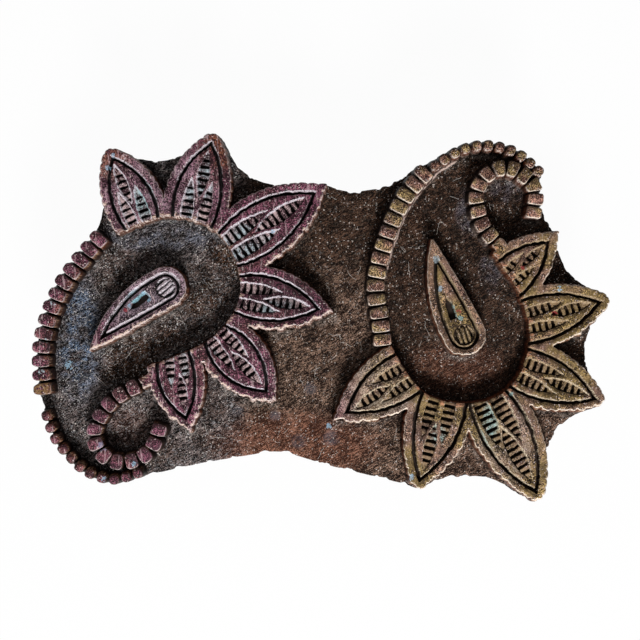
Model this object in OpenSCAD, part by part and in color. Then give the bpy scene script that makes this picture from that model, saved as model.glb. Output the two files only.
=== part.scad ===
// Hand printing block for cloth: a timber block carved in relief with two
// paisleys, and a waisted wooden handle nailed into a shallow housing in its back.
// The block lies face up, as it does when it is put down on its handle.
// X runs along the block, Y across it, Z up out of the printing face.

/* [Block] */
// Length of the carved pattern along the block
pattern_l = 191; // [172:1:230]
// Thickness of the timber from its back to the carved ground
ground_t = 20; // [17:1:30]
// Height of the printing face above the carved ground
relief_h = 8; // [5:0.5:12]
// Ledge of ground left outside the relief along the sawn edge
edge_ledge = 0.6; // [0.3:0.1:2]
// Radius of the saw curves between the petal tips
web_r = 20; // [14:1:28]
// Rounding that the knife leaves on the corners of the relief
knife_r = 0.5; // [0.2:0.1:0.8]

/* [Petals] */
// Width of the flat margin outside a petal's carved outline
margin_w = 2.7; // [2:0.1:3.5]
// Width of the carved outlines
groove_w = 1.3; // [0.8:0.1:1.8]
// Depth of the carved outlines and of the cells between the rungs
groove_depth = 2.5; // [1:0.5:3.5]
// Width of a leaflet, as a share of its petal's length outside the body
leaf_fullness = 0.15; // [0.12:0.01:0.2]
// Depth of a leaflet's hollow, on whose floor the rungs stand
leaf_sink = 0.7; // [0.4:0.1:1]
// Spacing of the rungs that cross a leaflet
rung_pitch = 2.2; // [1.6:0.1:3]
// Width of a rung
rung_w = 1; // [0.7:0.1:1.3]

/* [Teeth] */
// Length of a large border tooth, across its row
tooth_l = 5.2; // [4:0.2:6]
// Length of a small border tooth, across its row
small_tooth_l = 3.2; // [2.6:0.2:4]
// Length of a tooth in a curl, across its row
curl_tooth_l = 4.4; // [3.6:0.2:5]
// Gap between neighbouring teeth
tooth_gap = 1; // [0.6:0.1:1.4]

/* [Teardrops] */
// Width of the flat rim of a teardrop
rim_w = 2.1; // [1.6:0.1:2.6]
// Diameter of the striped dot in a teardrop's head
dot_d = 6; // [4.8:0.2:6.6]
// Spacing of the stripes across the dot
stripe_pitch = 1.5; // [1.2:0.1:2]
// Width of a stripe
stripe_w = 0.7; // [0.5:0.1:0.9]
// Length of the pointed slot behind the dot
slot_l = 8; // [6:0.5:9]
// Width of the slot
slot_w = 2.6; // [2:0.2:3]
// Distance from the dot to the slot
slot_gap = 3; // [2:0.5:4]

/* [Handle] */
// Overall length of the handle with its nailing tabs
handle_l = 116; // [104:2:124]
// Length of the waisted grip between the tabs
grip_l = 82; // [70:2:84]
// Width of the handle
handle_w = 34; // [30:1:40]
// Height of the handle from its flat crown to its foot
handle_h = 32; // [28:1:40]
// Thickness of the nailing tabs
tab_t = 9; // [7:0.5:11]
// Radius of the finger grooves along the grip
finger_r = 9; // [8:0.5:10]
// Depth of the finger grooves
finger_depth = 6; // [4:0.5:7]
// Corner radius of the handle seen from above
handle_corner_r = 6; // [3:0.5:8]
// Rounding along the crown of the grip
crown_r = 3; // [2:0.5:4]
// Depth of the housing in the block's back
housing_depth = 2; // [1:0.5:3]
// Clearance round the handle's foot in the housing
housing_clearance = 0.2; // [0.1:0.05:0.4]

/* [Nails] */
// Diameter of a nail's shank
nail_d = 2.6; // [2:0.2:3.4]
// Length of a nail below its head
nail_l = 22; // [18:1:24]
// Diameter of a nail's head
nail_head_d = 6.4; // [5:0.2:8]
// Height of a nail's domed head
nail_head_t = 1.6; // [1:0.2:2.2]
// Length of a nail's point
nail_point_l = 4; // [3:0.5:6]
// Distance of the nails from the ends of the handle
nail_inset = 8; // [6:0.5:9]
// Spacing of the two nails across each tab
nail_spacing = 18; // [12:1:20]
// Clearance of a nail in its bore, on the diameter
nail_clearance = 0.1; // [0:0.05:0.2]

/* [Hidden] */
$fn = 48;
knife_fn = 16;       // steps round a corner that the knife has rounded
cut = 1;             // how far a cutting solid runs past the face that it cuts
sink = 1;            // how far the relief reaches down into the ground that carries it
arc_steps = 10;      // straight steps along one side of an almond
span_steps = 5;      // straight steps between two points of a smooth path
first_cell = 0.7;    // place of a leaflet's first cell outside the body, in rung spacings
slot_shoulder = 0.7; // share of the slot's length at which its point begins

back_z = handle_h - housing_depth;
ground_z = back_z + ground_t;
face_z = ground_z + relief_h;
groove_z = face_z - groove_depth;
leaf_z = face_z - leaf_sink;
tab_z = handle_h - tab_t;
nail_x = handle_l / 2 - nail_inset;
finger_z = (crown_r + tab_z) / 2;
finger_y = handle_w / 2 - finger_depth + finger_r;

timber = "#4a3527";
handle_wood = "#6b4a30";
iron = "#4b4846";

// The pattern's points are counted in parts of its length, of which there are 191.
scale_by = pattern_l / 191;

// A petal is [root, tip, bulge on the left of that line, bulge on the right, tip style].
// The root lies inside the body, which cuts the petal off.
point = 1;
round_tip = 0;
left_petals = sized_petals([
    [[-56, 22.7], [-69.3, 54], 6.1, 7.5, round_tip],
    [[-44.7, 20.7], [-36.3, 59], 8.4, 7, round_tip],
    [[-40, 17.3], [-2, 42.3], 8.3, 8.3, point],
    [[-38.3, 10], [-0.7, 3.7], 7.9, 6.8, point],
    [[-38.7, -0.7], [-18, -23.7], 7, 7, point],
    [[-49.3, -2.7], [-44.7, -32.7], 5, 7.3, point]]);
right_petals = sized_petals([
    [[51, 2.3], [76, 26], 6.7, 6.7, point],
    [[51.7, -5], [93.3, 6], 7.3, 7.7, round_tip],
    [[52.3, -10.7], [91.7, -26.3], 7.7, 7.3, round_tip],
    [[49.3, -15], [72, -57.3], 8.7, 7.3, round_tip],
    [[46, -8.3], [33.3, -53.3], 8.5, 7.3, round_tip],
    [[44.3, -8.7], [9, -30.7], 7.3, 8, point]]);

// The hollow body of each paisley, as the points of a closed smooth path.
left_body = scale_by * [
    [-72, 25], [-62, 31.5], [-50.5, 34.5], [-39, 32], [-30.5, 24.5], [-26.7, 12], [-29, 2.5],
    [-37, -6.5], [-50, -12.7], [-63, -17.3], [-72, -24.5], [-78, -36], [-75, -46], [-66, -50],
    [-76, -47.5], [-85, -38.5], [-89.3, -25], [-89.3, -10], [-85.5, 4], [-79.5, 16]];
right_body = scale_by * [
    [22.5, -5], [28, -16], [36, -25], [47, -27.7], [58, -26], [66, -19], [70, -6], [67, 7.5],
    [60, 19], [53, 28.5], [49, 39], [51, 49], [59, 54], [66, 53], [58, 56], [48, 54.5],
    [36, 46], [27.5, 34], [22.5, 19], [21, 5]];

// A row of teeth is [points of its middle line, number of teeth, tooth length].
left_rows = sized_rows([
    [[[-74, 27], [-79.3, 21], [-85.7, 12.3], [-89.7, 3.7], [-92.3, -5], [-93.2, -14], [-92.5, -23]],
        13, tooth_l],
    [[[-91.3, -32], [-88.3, -40], [-82.7, -47], [-76.3, -51.5], [-69, -53.3], [-61, -51]],
        11, small_tooth_l],
    [[[-58, -20.7], [-63, -23], [-67.3, -25.3], [-71, -28.7], [-73.7, -32.7], [-75.7, -38],
      [-74, -43.3], [-70.7, -46.5], [-66.7, -47.5], [-62.7, -47], [-59, -45.3], [-56, -42.3],
      [-54, -36.7]], 13, curl_tooth_l]]);
right_rows = sized_rows([
    [[[21, -6.7], [20, 2], [18.7, 10], [19.7, 18], [22, 26], [25, 34.3], [29.3, 42.3], [34.7, 48.7]],
        14, tooth_l],
    [[[38.7, 51.7], [45.7, 56], [52.3, 58.2], [59.7, 57.9], [66.7, 55.3], [73, 49.7]],
        11, small_tooth_l],
    [[[60, 25], [56.3, 29.3], [54, 33], [52.7, 37.7], [52.3, 42], [54.3, 46.7], [57.7, 49.7],
      [61.7, 50.8], [66, 49.8], [69.3, 47.2], [71.5, 44.7], [72, 40.7], [71.3, 36]], 13, curl_tooth_l]]);

// A teardrop is [tip, centre of its head, head radius, radius of its side on the left going to the tip,
// on the right].
left_drop = scale_all([[-77.3, -11], [-51.6, 10.8], 7, 400, 42]);
right_drop = scale_all([[37.3, 27.7], [48.1, -5], 7.2, 50, 300]);

// The plain ground that joins the two paisleys.
bridge = scale_by * [
    [-3, 43], [1, 44], [11, 42.8], [22, 44.5], [32, 50.5], [50, 0], [28, -55], [3.3, -49],
    [-14, -43.7], [-40, -48], [-60, -52.5], [-45, 0]];
// The wider web that is left between the two lowest petals.
low_web = scale_by * [[62, -51], [48, -53], [38, -51], [48, -30]];

// Leaflets of a petal, as [start, end, side shift at the start, at the end]. Start and end are shares
// of the way from the body to the tip, and side shifts are shares of the bulge on that side. The two
// that start inside the body are cut off by it, where they are widest.
leaflets = [[-0.25, 0.52, 0.3, 0.45], [-0.25, 0.52, -0.3, -0.45], [0.3, 0.9, 0, 0.05]];

// Geometry helpers

function scale_all(list) = [for (value = list) value * scale_by];
function sized_petals(petals) =
    [for (p = petals) [p[0] * scale_by, p[1] * scale_by, p[2] * scale_by, p[3] * scale_by, p[4]]];
function sized_rows(rows) = [for (row = rows) [row[0] * scale_by, row[1], row[2]]];
function unit(v) = v / norm(v);
function left_of(v) = [-v[1], v[0]];
function reversed(list) = [for (i = [len(list) - 1:-1:0]) list[i]];

// Points of the arc from a to b that stands off the chord by bulge, to the left.
function arc(a, b, bulge, steps) =
    let (chord = norm(b - a), along = unit(b - a), side = left_of(along),
         half = 2 * atan(2 * bulge / chord), r = chord / 2 / sin(half))
    [for (i = [0:steps])
        let (t = half * (2 * i / steps - 1))
        (a + b) / 2 + along * r * sin(t) + side * r * (cos(t) - cos(half))];

function almond(root, tip, left, right) =
    concat(arc(root, tip, left, arc_steps),
           [for (p = reversed(arc(root, tip, -right, arc_steps))) if (p != root && p != tip) p]);

// One point of the smooth curve that passes through p1 and p2.
function curve_point(p0, p1, p2, p3, t) =
    0.5 * (2 * p1 + (p2 - p0) * t + (2 * p0 - 5 * p1 + 4 * p2 - p3) * t * t
           + (3 * p1 - p0 - 3 * p2 + p3) * t * t * t);

function smooth_closed(p) =
    let (n = len(p))
    [for (i = [0:n - 1], s = [0:span_steps - 1])
        curve_point(p[(i + n - 1) % n], p[i], p[(i + 1) % n], p[(i + 2) % n], s / span_steps)];

function smooth_open(p) =
    let (n = len(p))
    concat([for (i = [0:n - 2], s = [0:span_steps - 1])
        curve_point(p[max(i - 1, 0)], p[i], p[i + 1], p[min(i + 2, n - 1)], s / span_steps)],
        [p[n - 1]]);

// Distance along a path to each of its points.
function lengths(p) = [
    for (i = 0, s = 0; i < len(p); i = i + 1, s = s + (i < len(p) ? norm(p[i] - p[i - 1]) : 0)) s];

// Point at distance s along a path, moved aside to its left. The path runs on straight past its ends.
function beside(p, at, s, aside) =
    let (i = max([for (k = [0:len(p) - 2]) if (k == 0 || at[k] <= s) k]),
         along = unit(p[i + 1] - p[i]))
    p[i] + along * (s - at[i]) + left_of(along) * aside;

function drop_length(drop) = norm(drop[0] - drop[1]);
function drop_turn(drop) = atan2(drop[0][1] - drop[1][1], drop[0][0] - drop[1][0]);

// Angle round the head, counted from the tip, at which a side of a teardrop runs smoothly into it.
function meets_at(drop, side_r) =
    let (d = drop_length(drop), r = drop[2])
    acos((2 * side_r * r - r * r - d * d) / (2 * d * (side_r - r)));

// How far an arc of radius r from a to b stands off its chord.
function stand_off(a, b, r) = r - sqrt(r * r - pow(norm(b - a) / 2, 2));

// Outline of a teardrop, counter-clockwise from its tip.
function drop_outline(drop) =
    let (tip = drop[0], on_head = function (a) drop[1] + drop[2] * [cos(a), sin(a)],
         from = drop_turn(drop) + meets_at(drop, drop[3]),
         to = drop_turn(drop) + 360 - meets_at(drop, drop[4]),
         left = on_head(from), right = on_head(to))
    concat([for (p = arc(tip, left, -stand_off(tip, left, drop[3]), arc_steps)) if (p != tip) p],
           [for (i = [1:2 * arc_steps - 1]) on_head(from + (to - from) * i / (2 * arc_steps))],
           arc(right, tip, -stand_off(tip, right, drop[4]), arc_steps));

// Plan shapes of the carving

module petal_margin(petal) {
    outline = almond(petal[0], petal[1], petal[2], petal[3]);
    reach = groove_w / 2 + margin_w;
    if (petal[4] == point)
        offset(delta = reach) polygon(outline);
    else
        offset(r = reach) polygon(outline);
}

module petal_groove(petal) {
    outline = almond(petal[0], petal[1], petal[2], petal[3]);
    difference() {
        offset(delta = groove_w / 2) polygon(outline);
        offset(delta = -groove_w / 2) polygon(outline);
    }
}

// Share of the line from a to b at which it last leaves a closed path, or 0 if it starts outside it.
function leaves_at(a, b, path) = max([0,
    for (i = [0:len(path) - 1])
        let (p = path[i], edge = path[(i + 1) % len(path)] - p, den = cross(b - a, edge),
             t = cross(p - a, edge) / den, u = cross(p - a, b - a) / den)
        if (t > 0 && t < 1 && u >= 0 && u < 1) t]);

// Start and end of each leaflet of a petal, with its width.
function leaves_of(petal, body) =
    let (along = petal[1] - petal[0], side = left_of(unit(along)),
         foot = leaves_at(petal[0], petal[1], body), out = 1 - foot)
    [for (leaf = leaflets)
        let (bulge = leaf[3] > 0 ? petal[2] : petal[3])
        [petal[0] + along * (foot + leaf[0] * out) + side * leaf[2] * bulge,
         petal[0] + along * (foot + leaf[1] * out) + side * leaf[3] * bulge,
         leaf_fullness * out * norm(along)]];

module leaf_outline(leaf) {
    polygon(almond(leaf[0], leaf[1], leaf[2] / 2, leaf[2] / 2));
}

// The cells that are cut between the rungs of a leaflet. Its tip is left whole.
module leaf_cells(leaf, body) {
    along = leaf[1] - leaf[0];
    foot = leaf[0] + along * leaves_at(leaf[0], leaf[1], body);
    cells = floor(norm(leaf[1] - foot) / rung_pitch) - 1;
    intersection() {
        leaf_outline(leaf);
        for (i = [0:cells - 1])
            translate(foot + unit(along) * (i + first_cell) * rung_pitch)
                rotate(atan2(along[1], along[0]))
                    square([rung_pitch - rung_w, leaf[2] + 2 * cut], center = true);
    }
}

// The teeth of each row, with sides square to the row, so that they splay round a bend.
module teeth(rows) {
    for (row = rows) {
        path = smooth_open(row[0]);
        at = lengths(path);
        pitch = at[len(at) - 1] / (row[1] - 1);
        half_w = (pitch - tooth_gap) / 2;
        half_l = row[2] / 2;
        for (i = [0:row[1] - 1])
            polygon([for (corner = [[-1, -1], [1, -1], [1, 1], [-1, 1]])
                beside(path, at, i * pitch + corner[0] * half_w, corner[1] * half_l)]);
    }
}

module relief(petals, body, rows, drop) {
    offset(r = knife_r, $fn = knife_fn) offset(delta = -knife_r) {
        difference() {
            for (petal = petals) petal_margin(petal);
            polygon(smooth_closed(body));
        }
        teeth(rows);
        polygon(drop_outline(drop));
    }
}

module both_reliefs() {
    relief(left_petals, left_body, left_rows, left_drop);
    relief(right_petals, right_body, right_rows, right_drop);
}

module block_outline() {
    offset(r = edge_ledge - web_r) offset(r = web_r) {
        both_reliefs();
        polygon(smooth_closed(left_body));
        polygon(smooth_closed(right_body));
        polygon(bridge);
        polygon(low_web);
    }
}

// The carved lines of a petal, which run out through the wall of the body.
module petal_lines(petal, body) {
    difference() {
        union() {
            petal_groove(petal);
            for (leaf = leaves_of(petal, body)) leaf_cells(leaf, body);
        }
        offset(delta = -groove_w) polygon(body);
    }
}

// The leaflets' shallow hollows, and the deeper lines, cut down into the printing face.
module petal_cuts(petals, body) {
    for (petal = petals) {
        translate([0, 0, leaf_z]) linear_extrude(leaf_sink + cut)
            for (leaf = leaves_of(petal, body)) leaf_outline(leaf);
        translate([0, 0, groove_z]) linear_extrude(groove_depth + cut) petal_lines(petal, body);
    }
}

// The outline, the striped dot and the slot of a teardrop. The slot lies midway between the curved sides.
module drop_lines(drop) {
    slot_aside = pow(drop_length(drop), 2) / 12 * (1 / drop[3] - 1 / drop[4]);
    difference() {
        offset(delta = -rim_w) polygon(drop_outline(drop));
        offset(delta = -rim_w - groove_w) polygon(drop_outline(drop));
    }
    translate(drop[1]) rotate(drop_turn(drop)) difference() {
        circle(d = dot_d);
        for (i = [-1:1])
            translate([0, i * stripe_pitch]) square([dot_d, stripe_w], center = true);
    }
    translate(drop[1]) rotate(drop_turn(drop)) translate([dot_d / 2 + slot_gap, slot_aside])
        polygon([[0, -slot_w / 2], [slot_shoulder * slot_l, -slot_w / 2], [slot_l, 0],
                 [slot_shoulder * slot_l, slot_w / 2], [0, slot_w / 2]]);
}

module rounded_plate(l, w, r) {
    square([l - 2 * r, w], center = true);
    square([l, w - 2 * r], center = true);
    for (x = [r - l / 2, l / 2 - r], y = [r - w / 2, w / 2 - r])
        translate([x, y]) circle(r = r);
}

// Cross-section of the grip, with Y to the right and the crown at the bottom.
module grip_section() {
    difference() {
        union() {
            translate([-handle_w / 2, crown_r]) square([handle_w, handle_h - crown_r]);
            translate([crown_r - handle_w / 2, 0]) square([handle_w - 2 * crown_r, handle_h]);
            for (side = [-1, 1])
                translate([side * (handle_w / 2 - crown_r), crown_r]) circle(r = crown_r);
        }
        for (side = [-1, 1])
            translate([side * finger_y, finger_z]) circle(r = finger_r);
    }
}

module at_nails() {
    for (x = [-nail_x, nail_x], y = [-nail_spacing / 2, nail_spacing / 2])
        translate([x, y, 0]) children();
}

// A nail stands with its head under the tab and its point up in the block.
module nail_shank(clearance) {
    d = nail_d + clearance;
    translate([0, 0, tab_z]) cylinder(d = d, h = nail_l - nail_point_l);
    translate([0, 0, tab_z + nail_l - nail_point_l]) cylinder(d1 = d, d2 = 0, h = nail_point_l + clearance);
}

module nail_head() {
    dome_r = (nail_head_d * nail_head_d / 4 + nail_head_t * nail_head_t) / (2 * nail_head_t);
    translate([0, 0, tab_z]) mirror([0, 0, 1]) rotate_extrude() intersection() {
        translate([0, nail_head_t - dome_r]) circle(r = dome_r);
        square([nail_head_d / 2, nail_head_t]);
    }
}

// Pieces

module carved_block() {
    color(timber) difference() {
        union() {
            translate([0, 0, back_z]) linear_extrude(ground_t) block_outline();
            translate([0, 0, ground_z - sink]) linear_extrude(relief_h + sink) both_reliefs();
        }
        petal_cuts(left_petals, smooth_closed(left_body));
        petal_cuts(right_petals, smooth_closed(right_body));
        for (drop = [left_drop, right_drop])
            translate([0, 0, groove_z]) linear_extrude(groove_depth + cut) drop_lines(drop);
        translate([0, 0, back_z - cut]) linear_extrude(housing_depth + cut)
            rounded_plate(handle_l + 2 * housing_clearance, handle_w + 2 * housing_clearance,
                          handle_corner_r + housing_clearance);
        at_nails() nail_shank(nail_clearance);
    }
}

module handle() {
    color(handle_wood) difference() {
        union() {
            translate([0, 0, tab_z]) linear_extrude(tab_t) rounded_plate(handle_l, handle_w, handle_corner_r);
            intersection() {
                rotate([90, 0, 90]) linear_extrude(grip_l, center = true) grip_section();
                linear_extrude(handle_h) rounded_plate(grip_l, handle_w, handle_corner_r);
            }
        }
        at_nails() nail_shank(nail_clearance);
    }
}

module handle_nails() {
    color(iron) at_nails() {
        nail_shank(0);
        nail_head();
    }
}

carved_block();
handle();
handle_nails();
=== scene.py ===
import math

import bmesh
import bpy
import numpy as np
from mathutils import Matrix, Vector, kdtree


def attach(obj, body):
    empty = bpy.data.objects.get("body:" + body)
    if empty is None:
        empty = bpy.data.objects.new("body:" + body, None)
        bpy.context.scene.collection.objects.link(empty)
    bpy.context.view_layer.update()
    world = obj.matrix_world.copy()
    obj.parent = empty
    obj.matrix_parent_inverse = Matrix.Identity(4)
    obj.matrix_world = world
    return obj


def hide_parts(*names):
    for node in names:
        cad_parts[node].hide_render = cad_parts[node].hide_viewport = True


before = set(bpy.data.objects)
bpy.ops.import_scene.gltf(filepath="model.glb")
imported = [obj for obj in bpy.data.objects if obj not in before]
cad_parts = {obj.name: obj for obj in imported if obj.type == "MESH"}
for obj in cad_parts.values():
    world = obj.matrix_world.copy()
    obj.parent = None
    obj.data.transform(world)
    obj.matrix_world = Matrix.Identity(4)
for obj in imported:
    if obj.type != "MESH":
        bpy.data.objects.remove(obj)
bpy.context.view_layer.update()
scene = bpy.context.scene
milli = 0.001


# Node graphs: a wire is a socket that can be used in sums, for shaders and geometry alike.
class Wire:
    def __init__(self, graph, socket):
        self.graph = graph
        self.socket = socket

    def sum(self, operation, first, second):
        kind = "ShaderNodeVectorMath" if self.socket.type == "VECTOR" else "ShaderNodeMath"
        return self.graph.node(kind, {"operation": operation}, {0: first, 1: second})

    def __add__(self, other):
        return self.sum("ADD", self, other)

    def __radd__(self, other):
        return self.sum("ADD", other, self)

    def __sub__(self, other):
        return self.sum("SUBTRACT", self, other)

    def __rsub__(self, other):
        return self.sum("SUBTRACT", other, self)

    def __mul__(self, other):
        return self.sum("MULTIPLY", self, other)

    def __rmul__(self, other):
        return self.sum("MULTIPLY", other, self)

    def __truediv__(self, other):
        return self.sum("DIVIDE", self, other)

    def __rtruediv__(self, other):
        return self.sum("DIVIDE", other, self)

    def __pow__(self, other):
        return self.sum("POWER", self, other)

    def __rpow__(self, other):
        return self.sum("POWER", other, self)


class Graph:
    def __init__(self, tree):
        self.tree = tree

    def node(self, kind, settings=None, inputs=None, output=0):
        made = self.tree.nodes.new(kind)
        for name, value in (settings or {}).items():
            setattr(made, name, value)
        for key, value in (inputs or {}).items():
            if isinstance(value, Wire):
                self.tree.links.new(value.socket, made.inputs[key])
            else:
                made.inputs[key].default_value = value
        return Wire(self, made.outputs[output])

    def also(self, wire, output):  # another output of the same node
        return Wire(self, wire.socket.node.outputs[output])

    def mix(self, share, first, second):  # colours
        keys = {0: share, 6: shade(first), 7: shade(second)}
        return self.node("ShaderNodeMix", {"data_type": "RGBA"}, keys, 2)

    def step(self, value, low, high, start=0.0, end=1.0):  # smooth rise from start to end
        keys = {0: value, 1: low, 2: high, 3: start, 4: end}
        return self.node("ShaderNodeMapRange", {"interpolation_type": "SMOOTHSTEP"}, keys)

    def noise(self, place, size, detail=3.0, rough=0.55):  # 0 to 1, with features of that size
        keys = {"Vector": place, "Scale": 1 / size, "Detail": detail, "Roughness": rough}
        return self.node("ShaderNodeTexNoise", {}, keys)

    def attribute(self, name):  # a number on the mesh, in a material
        return self.node("ShaderNodeAttribute", {"attribute_name": name}, {}, "Fac")

    def stored(self, name, kind="FLOAT"):  # the same in a geometry tree
        return self.node("GeometryNodeInputNamedAttribute", {"data_type": kind}, {"Name": name}, "Attribute")

    def calc(self, operation, *values):
        return self.node("ShaderNodeMath", {"operation": operation}, dict(enumerate(values)))

    def split(self, place):  # x, y and z
        x = self.node("ShaderNodeSeparateXYZ", {}, {0: place})
        return x, self.also(x, 1), self.also(x, 2)


def shade(value):  # a colour given as three numbers of a picture, 0 to 255
    if isinstance(value, Wire):
        return value
    part = [c / 255 for c in value]
    return [c / 12.92 if c < 0.04045 else ((c + 0.055) / 1.055) ** 2.4 for c in part] + [1.0]


def material(name, kind=Graph, *sizes):
    made = bpy.data.materials.new(name)
    made.use_nodes = True
    made.node_tree.nodes.clear()
    return made, kind(made.node_tree, *sizes)


def surface(graph, colour, roughness, height=None, depth=0.0, metallic=0.0, sheen=0.4):
    keys = {"Base Color": colour, "Roughness": roughness, "Metallic": metallic, "Specular IOR Level": sheen}
    if height is not None:
        bump = {"Strength": 1.0, "Distance": depth * milli, "Height": height}
        keys["Normal"] = graph.node("ShaderNodeBump", {}, bump)
    shader = graph.node("ShaderNodeBsdfPrincipled", {}, keys)
    finishGraph(graph, "ShaderNodeOutputMaterial", shader)


def finishGraph(graph, kind, shader):
    out = graph.tree.nodes.new(kind)
    graph.tree.links.new(shader.socket, out.inputs["Surface"])


# Plan geometry, in millimetres
def noise(x, y, size, seed):  # smooth, -1 to 1, with features of that size
    u, v = x / size, y / size
    i, j = np.floor(u).astype(np.int64), np.floor(v).astype(np.int64)
    f, g = u - i, v - j
    f, g = f * f * (3 - 2 * f), g * g * (3 - 2 * g)

    def corner(a, b):
        n = (a * 374761393 + b * 668265263 + seed * 974634541) & 0xFFFFFFFF
        n = ((n ^ (n >> 13)) * 1274126177) & 0xFFFFFFFF
        return ((n ^ (n >> 16)) & 0xFFFF) / 32767.5 - 1

    low = corner(i, j) * (1 - f) + corner(i + 1, j) * f
    high = corner(i, j + 1) * (1 - f) + corner(i + 1, j + 1) * f
    return low * (1 - g) + high * g


def smooth(t):
    t = np.clip(t, 0, 1)
    return t * t * (3 - 2 * t)


def bell(gap, width):
    return np.exp(-(gap / width) ** 2)


def walked(follow):  # the closed paths in a table of each point's next points
    while follow:
        start = next(iter(follow))
        path, at = [], start
        while True:
            path.append(at)
            ways = follow[at]
            step = ways.pop()
            if not ways:
                del follow[at]
            at = step
            if at == start:
                break
        yield path


def planLoops(name, facing):  # outlines of a CAD node's level faces, by height
    bm = bmesh.new()
    bm.from_mesh(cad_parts[name].data)
    bmesh.ops.remove_doubles(bm, verts=bm.verts, dist=2e-6)
    bm.verts.index_update()
    bm.faces.index_update()
    levels = {}
    for face in bm.faces:
        if face.normal.z * facing > 0.99:
            levels[face.index] = round(face.verts[0].co.z / milli, 1)
    follow = {}
    for face in bm.faces:
        height = levels.get(face.index)
        if height is None:
            continue
        for corner in face.loops:
            same = [f for f in corner.edge.link_faces if levels.get(f.index) == height]
            if len(same) == 1:
                here, ahead = corner.vert.index, corner.link_loop_next.vert.index
                follow.setdefault((height, here), []).append((height, ahead))
    places = np.array([v.co for v in bm.verts])[:, :2] / milli
    bm.free()
    loops = {}
    for path in walked(follow):
        loops.setdefault(path[0][0], []).append(places[[index for _, index in path]])
    return loops


def signedArea(loop):
    x, y = loop[:, 0], loop[:, 1]
    return 0.5 * np.sum(x * np.roll(y, -1) - y * np.roll(x, -1))


def resampled(loop, step):  # a closed outline with points about that far apart
    closed = np.vstack([loop, loop[:1]])
    along = np.concatenate([[0], np.cumsum(np.linalg.norm(np.diff(closed, axis=0), axis=1))])
    count = max(8, int(round(along[-1] / step)))
    at = np.arange(count) * along[-1] / count
    return np.stack([np.interp(at, along, closed[:, k]) for k in (0, 1)], 1), at


def outward(points, reach):  # unit normals of a closed path that has its material on the left
    run = np.roll(points, -reach, 0) - np.roll(points, reach, 0)
    side = np.stack([run[:, 1], -run[:, 0]], 1)
    return side / (np.linalg.norm(side, axis=1, keepdims=True) + 1e-9)


def insideOf(loops, xs, ys):  # even-odd, on a grid
    parts = np.concatenate([np.hstack([p, np.roll(p, -1, 0)]) for p in loops])
    mask = np.zeros((len(ys), len(xs)), bool)
    for row, y in enumerate(ys):
        hit = parts[(parts[:, 1] <= y) != (parts[:, 3] <= y)]
        if len(hit):
            cross = hit[:, 0] + (y - hit[:, 1]) * (hit[:, 2] - hit[:, 0]) / (hit[:, 3] - hit[:, 1])
            mask[row] = np.searchsorted(np.sort(cross), xs) % 2 == 1
    return mask


def pointsInside(loops, flat):  # even-odd at scattered points, by sorting them into thin rows
    parts = np.concatenate([np.hstack([p, np.roll(p, -1, 0)]) for p in loops])
    low, high = np.minimum(parts[:, 1], parts[:, 3]), np.maximum(parts[:, 1], parts[:, 3])
    order = np.argsort(flat[:, 1], kind="stable")
    mask = np.zeros(len(flat), bool)
    for chunk in np.array_split(order, max(1, len(order) // 250)):
        px, py = flat[chunk, 0], flat[chunk, 1]
        near = parts[(low <= py[-1]) & (high >= py[0])]
        if not len(near):
            continue
        x1, y1, x2, y2 = (near[:, k][None, :] for k in range(4))
        cross = (y1 <= py[:, None]) != (y2 <= py[:, None])
        with np.errstate(divide="ignore", invalid="ignore"):
            at = x1 + (py[:, None] - y1) * (x2 - x1) / (y2 - y1)
        mask[chunk] = (cross & (at > px[:, None])).sum(1) % 2 == 1
    return mask


def treeOf(points):
    tree = kdtree.KDTree(len(points))
    for i, p in enumerate(points):
        tree.insert((p[0], p[1], 0.0), i)
    tree.balance()
    return tree


def nearest(tree, points):  # distance to the closest point of a tree, and that point
    found = [tree.find((x, y, 0.0)) for x, y in points]
    gap = np.array([f[2] for f in found])
    return gap, np.array([f[0][:2] for f in found])


block = planLoops("carved_block", 1)
under = planLoops("carved_block", -1)
heights = sorted(block)
groundZ, grooveZ, leafZ, faceZ = heights[-4:]
backZ, housingZ = min(under), max(under)
print("levels", heights, sorted(under))
fanArea, toothArea, knobArea = 1000, 100, 10.5  # in square mm, to tell the islands of the relief apart
groundLoops = sorted(block[groundZ], key=lambda p: -abs(signedArea(p)))
blockOutline = groundLoops[0]
islands = [p[::-1] for p in groundLoops[1:]]
fans = sorted([p for p in islands if signedArea(p) > fanArea], key=lambda p: p[:, 0].mean())
drops = sorted([p for p in islands if toothArea < signedArea(p) < fanArea], key=lambda p: p[:, 0].mean())
toothLoops = [p for p in islands if signedArea(p) < toothArea]
print("islands", len(fans), len(drops), len(toothLoops))

bodies = np.array([[-58.0, 8.0], [46.0, 8.0]])  # middles of the two paisleys
curls = np.array([[-64.0, -35.0], [61.5, 40.0]])  # and of their curled ends
curlReach = 17
dots, dotRadius = np.array([[-51.6, 10.8], [48.1, -5.0]]), 3.1  # striped dots in the teardrops
lightward = np.array([0.18, 0.98])  # along the light, on plan


def bodyOf(loop):
    return bodies[0 if loop[:, 0].mean() < 0 else 1]


# Meshes
def mark(mesh, values):  # numbers on the points, for materials and trees
    for key, value in values.items():
        layer = mesh.attributes.new(key, "FLOAT", "POINT")
        layer.data.foreach_set("value", np.asarray(value, np.float32))


def addPiece(name, verts, faces, values, mat, slotName, *nodes):
    mesh = bpy.data.meshes.new(name)
    mesh.from_pydata((np.asarray(verts) * milli).tolist(), [], faces)
    mark(mesh, values)
    return ridePiece(mesh, name, mat, slotName, *nodes)


def ridePiece(mesh, name, mat, slotName, *nodes):
    mesh.materials.clear()
    mesh.materials.append(mat)
    made = bpy.data.objects.new(name, mesh)
    scene.collection.objects.link(made)
    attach(made, "root")
    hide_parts(*nodes)
    return made


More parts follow.
